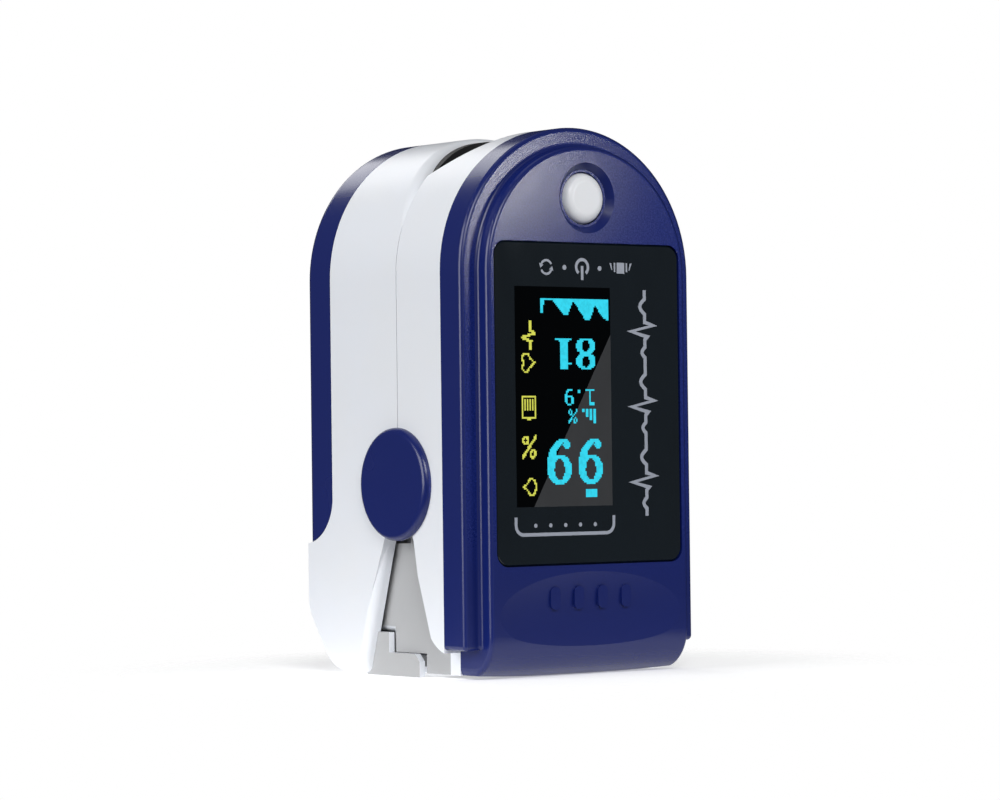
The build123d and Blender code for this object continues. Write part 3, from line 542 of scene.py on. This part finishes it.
# the window and the lit shapes on it, in mm; a box is left, bottom, right, top
WINDOW = (-9.85, 17.9, 3.0, 40.95)
PIXEL = 0.17
PAINTED_GLARE_TOP = (3.0, 36.0)            # the edge of the grey sheet of painted glare crosses the window between these two points
PAINTED_GLARE_FOOT = (-7.55, 17.9)

BLACK = gloss_black("display_black", (0.0004, 0.0008, 0.0012), rough=0.03, specular=0.08)
# painted glare: a grey sheet over part of the window stands in for the reflection of a light across the
# display
PAINTED_GLARE = gloss_black("display_painted_glare", (0.048, 0.050, 0.053), rough=0.10, specular=0.08)
slab_piece("display_window", [rectangle(*WINDOW)], LENS_FACE, BLACK, THIN_SHEET)
slab_piece(
    "display_painted_glare",
    [[PAINTED_GLARE_FOOT, (WINDOW[2], WINDOW[1]), PAINTED_GLARE_TOP]],
    LENS_FACE - THIN_SHEET, PAINTED_GLARE, THIN_SHEET,
)
CONTENT = LENS_FACE - 2 * THIN_SHEET


def pixels(box, inside):
    """The display's pixels whose centres are inside a shape, joined along each row.
    inside takes u and v, which go from 0 to 1 across and up the box."""
    left, bottom, right, top = box
    rows = []
    for row in range(round((top - bottom) / PIXEL)):
        z = bottom + (row + 0.5) * PIXEL
        start = None
        columns = round((right - left) / PIXEL)
        for column in range(columns + 1):
            x = left + (column + 0.5) * PIXEL
            lit = column < columns and inside((x - left) / (right - left), (z - bottom) / (top - bottom))
            if lit and start is None:
                start = column
            if not lit and start is not None:
                run = (left + start * PIXEL, left + column * PIXEL)
                rows.append(rectangle(run[0], z - PIXEL / 2, run[1], z + PIXEL / 2))
                start = None
    return rows


def in_ellipse(u, v, centre_u, centre_v, radius_u, radius_v):
    """True within an upright or level ellipse."""
    return ((u - centre_u) / radius_u) ** 2 + ((v - centre_v) / radius_v) ** 2 <= 1


def nine(u, v):
    """A nine that stands on its head: bowl below, tail curling to a ball at the upper right."""
    bowl = in_ellipse(u, v, 0.5, 0.33, 0.5, 0.33) and not in_ellipse(u, v, 0.5, 0.33, 0.215, 0.235)
    tail = in_ellipse(u, v, 0.66, 0.45, 0.66, 0.55) and not in_ellipse(u, v, 0.82, 0.47, 0.52, 0.47)
    tail = tail and v > 0.42 and u < 0.9
    ball = in_ellipse(u, v, 0.80, 0.88, 0.15, 0.085)
    return bowl or tail or ball


def eight(u, v):
    """An eight: two rings, one above the other."""
    upper = in_ellipse(u, v, 0.5, 0.745, 0.5, 0.27) and not in_ellipse(u, v, 0.5, 0.76, 0.2, 0.19)
    lower = in_ellipse(u, v, 0.5, 0.26, 0.5, 0.275) and not in_ellipse(u, v, 0.5, 0.245, 0.2, 0.175)
    return upper or lower


def one(u, v):
    """A one that stands on its head: serif above, flag at the lower right."""
    stem = 0.34 < u < 0.74
    serif = v > 0.95 or (v > 0.90 and 0.2 < u < 0.86)
    flag = 0.74 <= u < 0.98 and 0.14 < v < 0.22
    return stem or serif or flag


def small_nine(u, v):
    """The nine again, thinner and without the ball."""
    bowl = in_ellipse(u, v, 0.5, 0.32, 0.5, 0.32) and not in_ellipse(u, v, 0.5, 0.32, 0.28, 0.2)
    tail = in_ellipse(u, v, 0.6, 0.5, 0.6, 0.5) and not in_ellipse(u, v, 0.72, 0.5, 0.5, 0.4)
    return bowl or (tail and v > 0.4 and u < 0.9)


def small_one(u, v):
    """The one again, thinner."""
    return 0.4 < u < 0.62 or v > 0.9 or (v < 0.2 and u >= 0.62)


def percent(u, v):
    """A percent sign: a slash between two small rings."""
    slash = abs((u - 0.5) * 0.9 - (v - 0.5)) < 0.09
    rings = in_ellipse(u, v, 0.24, 0.78, 0.24, 0.20) or in_ellipse(u, v, 0.76, 0.22, 0.24, 0.20)
    holes = in_ellipse(u, v, 0.24, 0.78, 0.11, 0.09) or in_ellipse(u, v, 0.76, 0.22, 0.11, 0.09)
    return slash or (rings and not holes)


def growing_bars(u, v):
    """Four bars that grow, hanging from the top edge."""
    bar = int(u * 4)
    return (u * 4) % 1 < 0.6 and v > 1 - (0.25 + 0.25 * bar)


def waveform(u, v):
    """A pulse wave hung from the top edge of its box, filled down to its teeth."""
    teeth = ((0, 0.30), (0.035, 0.34), (0.055, 0.90), (0.17, 0.95), (0.35, 0.24), (0.40, 0.24), (0.48, 0.93),
             (0.655, 0.02), (0.73, 0.02), (0.80, 0.74), (0.855, 0.44), (0.96, 0.02), (1, 0.02))
    for (u0, v0), (u1, v1) in zip(teeth, teeth[1:]):
        if u0 <= u <= u1:
            return v > v0 + (v1 - v0) * (u - u0) / (u1 - u0) or v > 0.94
    return False


def full(u, v):
    """The whole box."""
    return True


def rim(shape, thin_u, thin_v):
    """Only the edge of a shape, thin_u and thin_v of its box wide."""
    def edge(u, v):
        steps = ((thin_u, 0), (-thin_u, 0), (0, thin_v), (0, -thin_v))
        return shape(u, v) and not all(shape(u + du, v + dv) for du, dv in steps)
    return edge


def drop(u, v):
    """A drop that points left, as the labels are turned on their side."""
    return in_ellipse(u, v, 0.64, 0.5, 0.36, 0.42) or (0 <= u < 0.6 and abs(v - 0.5) < 0.62 * u)


def heart(u, v):
    """A heart turned on its side, lobes to the left."""
    lobes = in_ellipse(u, v, 0.3, 0.27, 0.3, 0.27) or in_ellipse(u, v, 0.3, 0.73, 0.3, 0.27)
    point = 0.3 <= u <= 1 and abs(v - 0.5) < 0.5 * (1 - (u - 0.3) / 0.7)
    return lobes or point


def zigzag(u, v):
    """A pulse line that runs up its box."""
    line = ((0, 0.62), (0.30, 0.62), (0.42, 0.04), (0.58, 0.96), (0.70, 0.62), (1, 0.62))
    for (v0, u0), (v1, u1) in zip(line, line[1:]):
        if v0 <= v <= v1:
            slope = abs(u1 - u0) / (v1 - v0)
            return abs(u - (u0 + (u1 - u0) * (v - v0) / (v1 - v0))) < 0.07 + 0.035 * slope
    return False


def battery(u, v):
    """A battery on its side with four bars, its nub downwards."""
    frame_line = 0.09 <= v and (u < 0.09 or u > 0.91 or v > 0.93 or v < 0.16)
    nub = v < 0.09 and 0.38 < u < 0.62
    bars = 0.36 < v < 0.84 and any(abs(u - centre) < 0.05 for centre in (0.26, 0.42, 0.58, 0.74))
    return frame_line or nub or bars


CYAN = glow("pixels_cyan", (0.034, 0.70, 0.90), 0.84)
YELLOW = glow("pixels_yellow", (0.70, 0.72, 0.10), 0.85)
# each lit piece: its name, its colour, and the boxes and shapes it is made of
LIT = [
    ("pixels_wave", CYAN, [((-6.44, 37.5, 2.73, 39.7), waveform)]),
    ("pixels_large_digits", CYAN, [
        ((-5.73, 20.2, -2.47, 24.96), nine),
        ((-1.52, 20.2, 1.74, 24.96), nine),
    ]),
    ("pixels_medium_digits", CYAN, [
        ((-4.53, 32.3, -2.32, 35.53), one),
        ((-1.72, 32.3, 0.91, 35.6), eight),
    ]),
    ("pixels_pulse_block", CYAN, [((-0.61, 18.82, 0.88, 19.72), full)]),
    ("pixels_small_digits", CYAN, [
        ((-3.3, 28.5, -2.1, 30.2), small_nine),
        ((-1.55, 29.8, -1.2, 30.15), full),
        ((-0.5, 28.5, 0.7, 30.2), small_one),
        ((-2.84, 26.6, -1.65, 28.1), percent),
        ((-1.0, 26.6, 1.0, 28.1), growing_bars),
    ]),
    ("pixels_labels", YELLOW, [
        ((-9.02, 31.9, -7.15, 34.0), rim(heart, 0.12, 0.11)),
        ((-9.02, 34.3, -7.15, 37.3), zigzag),
        ((-9.05, 18.9, -7.2, 21.1), rim(drop, 0.12, 0.10)),
        ((-9.05, 22.9, -7.2, 25.4), percent),
    ]),
    ("pixels_battery", YELLOW, [((-9.05, 26.95, -7.2, 29.55), battery)]),
]
for lit_name, lit_look, shapes in LIT:
    outlines = [outline for box, inside in shapes for outline in pixels(box, inside)]
    slab_piece(lit_name, outlines, CONTENT, lit_look)


# ---------------------------------------------------------------- studio

def area_light(name, place, aim, size, watts):
    """A soft rectangular light at place, turned towards aim."""
    light = bpy.data.lights.new(name, "AREA")
    light.shape = "RECTANGLE"
    light.size, light.size_y = size
    light.energy = watts
    lamp = bpy.data.objects.new(name, light)
    lamp.location = place
    lamp.rotation_euler = (Vector(aim) - Vector(place)).to_track_quat("-Z", "Y").to_euler()
    bpy.context.scene.collection.objects.link(lamp)


CENTRE = Vector((0, 0, 0.03))
SHEEN_SPOT = Vector((-0.014, -0.015, 0.049))      # upper left of the front face
SHEEN_STEP = Vector((0.0573, -0.0800, 0.0150))    # from there to the small light mirrored in it
area_light("left_box", (-0.52, 0.02, 0.15), CENTRE, (0.34, 0.34), 1.82)
area_light("front_box", (-0.26, -0.50, 0.34), CENTRE, (0.26, 0.26), 1.85)
area_light("top_box", (-0.05, 0.06, 0.55), CENTRE, (0.40, 0.30), 0.16)
area_light("rear_box", (0.10, 0.52, 0.40), CENTRE, (0.24, 0.24), 0.45)
area_light("sheen", SHEEN_SPOT + SHEEN_STEP, SHEEN_SPOT, (0.012, 0.012), 0.021)

DARK_SIDE = (0.75, 0.66, 0.0)                     # the right rear
DARK_SPREAD = (0.45, 0.85)                        # alignment with it where the fall begins and ends
WORLD_LIGHT = (0.13, 0.02)                        # strength away from it and in it


def world_light():
    """Pale surroundings with a dark right rear, and plain white where the camera sees them."""
    world = bpy.data.worlds.new("studio")
    bpy.context.scene.world = world
    world.use_nodes = True
    tree = world.node_tree
    tree.nodes.clear()
    output = tree.nodes.new("ShaderNodeOutputWorld")
    seen = tree.nodes.new("ShaderNodeBackground")
    seen.inputs["Color"].default_value = (1, 1, 1, 1)
    seen.inputs["Strength"].default_value = 1.0
    lighting = tree.nodes.new("ShaderNodeBackground")
    lighting.inputs["Color"].default_value = (0.95, 0.97, 1.0, 1)
    coords = tree.nodes.new("ShaderNodeTexCoord")
    toward = tree.nodes.new("ShaderNodeVectorMath")
    toward.operation = "DOT_PRODUCT"
    tree.links.new(coords.outputs["Generated"], toward.inputs[0])
    toward.inputs[1].default_value = DARK_SIDE
    darker = tree.nodes.new("ShaderNodeMapRange")
    darker.interpolation_type = "SMOOTHSTEP"
    darker.inputs["From Min"].default_value = DARK_SPREAD[0]
    darker.inputs["From Max"].default_value = DARK_SPREAD[1]
    darker.inputs["To Min"].default_value = WORLD_LIGHT[0]
    darker.inputs["To Max"].default_value = WORLD_LIGHT[1]
    tree.links.new(toward.outputs["Value"], darker.inputs["Value"])
    tree.links.new(darker.outputs["Result"], lighting.inputs["Strength"])
    path = tree.nodes.new("ShaderNodeLightPath")
    choose = tree.nodes.new("ShaderNodeMixShader")
    tree.links.new(path.outputs["Is Camera Ray"], choose.inputs[0])
    tree.links.new(lighting.outputs[0], choose.inputs[1])
    tree.links.new(seen.outputs[0], choose.inputs[2])
    tree.links.new(choose.outputs[0], output.inputs["Surface"])


world_light()


FLOOR_NEAR, FLOOR_FAR = 0.022, 0.052      # distances from the centre between which the floor fades
FLOOR_LIFT = 0.42                         # glow that keeps the paper white
FLOOR_HALF = 1.0


def floor_piece():
    """A pale floor that takes a soft shadow near the object and fades into the white surroundings."""
    mesh = bpy.data.meshes.new("floor")
    form = bmesh.new()
    bmesh.ops.create_grid(form, x_segments=12, y_segments=12, size=FLOOR_HALF)
    form.to_mesh(mesh)
    form.free()
    floor = bpy.data.objects.new("floor", mesh)
    material, tree, shader = new_material("floor_paper")
    away = tree.nodes.new("ShaderNodeVectorMath")
    away.operation = "LENGTH"
    tree.links.new(object_coords(tree, (1, 1, 0)), away.inputs[0])
    fade = tree.nodes.new("ShaderNodeMapRange")
    fade.interpolation_type = "SMOOTHSTEP"
    fade.inputs["From Min"].default_value = FLOOR_NEAR
    fade.inputs["From Max"].default_value = FLOOR_FAR
    fade.inputs["To Min"].default_value = 1.0
    fade.inputs["To Max"].default_value = 0.0
    tree.links.new(away.outputs["Value"], fade.inputs["Value"])
    tree.links.new(fade.outputs["Result"], shader.inputs["Alpha"])
    paper = ramp(tree, noise(tree, 40 * MM), [(0.3, grey(0.90)), (0.7, grey(0.93))])
    tree.links.new(paper, shader.inputs["Base Color"])
    shader.inputs["Roughness"].default_value = 0.9
    shader.inputs["Specular IOR Level"].default_value = 0.0
    shader.inputs["Emission Color"].default_value = (1, 1, 1, 1)
    shader.inputs["Emission Strength"].default_value = FLOOR_LIFT
    mesh.materials.append(material)
    bpy.context.scene.collection.objects.link(floor)


floor_piece()


# ---------------------------------------------------------------- camera

AZIMUTH = math.radians(-37.70)
ELEVATION = math.radians(-0.89)
ROLL = math.radians(-0.71)
DISTANCE = 0.396
LENS = 131.1
AIM = Vector((-0.00035, 0, 0.02936))


def camera():
    """A long lens at the height of the object, in front of its left side."""
    data = bpy.data.cameras.new("camera")
    data.lens = LENS
    data.sensor_width = 36
    data.clip_start = 0.01
    body = bpy.data.objects.new("camera", data)
    back = Vector((
        math.sin(AZIMUTH) * math.cos(ELEVATION),
        -math.cos(AZIMUTH) * math.cos(ELEVATION),
        math.sin(ELEVATION),
    ))
    body.location = AIM + back * DISTANCE
    turn = back.to_track_quat("Z", "Y").to_matrix()
    roll = turn @ Vector((0, 0, 1))
    body.rotation_euler = (Matrix.Rotation(ROLL, 3, roll) @ turn).to_euler()
    bpy.context.scene.collection.objects.link(body)
    bpy.context.scene.camera = body


camera()
bpy.context.scene.view_settings.view_transform = "Standard"
